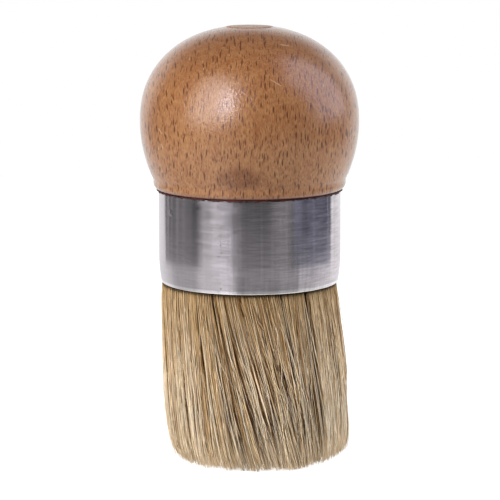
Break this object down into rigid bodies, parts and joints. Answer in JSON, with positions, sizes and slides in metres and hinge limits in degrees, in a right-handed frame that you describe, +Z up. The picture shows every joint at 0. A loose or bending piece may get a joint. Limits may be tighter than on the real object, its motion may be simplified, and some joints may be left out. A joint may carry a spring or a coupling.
{
  "type": "round stencil brush",
  "caption": "Palm-held round stencil brush: turned wooden ball grip, rolled steel ferrule and a flat-cut natural bristle tuft, for dabbing and waxing.",
  "frame": {"origin": "centre of the object's bounding box at its base, which is on the ferrule's axis, level with the flat of the bristle tips", "axes": "+Z up along the ferrule's axis from the tips to the knob, +X the way the tuft leans, -Y towards the side that the picture shows"},
  "size_m": [0.06, 0.06, 0.1191],
  "materials": {
    "lacquered_beech": "turned beech under clear gloss lacquer, mid brown with fine dark ray flecks",
    "beech_end_grain": "beech plug, end grain, under the same lacquer",
    "ferrule_steel": "bright stainless strip, polished round the tube with faint circumferential lines",
    "pin_steel": "plain bright wire, domed head",
    "cast_resin": "cast epoxy setting, amber, hidden inside the ferrule",
    "hog_bristle": "natural hog bristle, straw to grey brown, paler at the split tips"
  },
  "bodies": {
    "root": {"handle_knob": "lacquered_beech", "top_plug": "beech_end_grain", "ferrule": "ferrule_steel", "ferrule_pin_1": "pin_steel", "ferrule_pin_2": "pin_steel", "resin_setting": "cast_resin", "bristle_tuft_1": "hog_bristle", "bristle_tuft_2": "hog_bristle", "bristle_tuft_3": "hog_bristle", "bristle_tuft_4": "hog_bristle"}
  },
  "joints": []
}
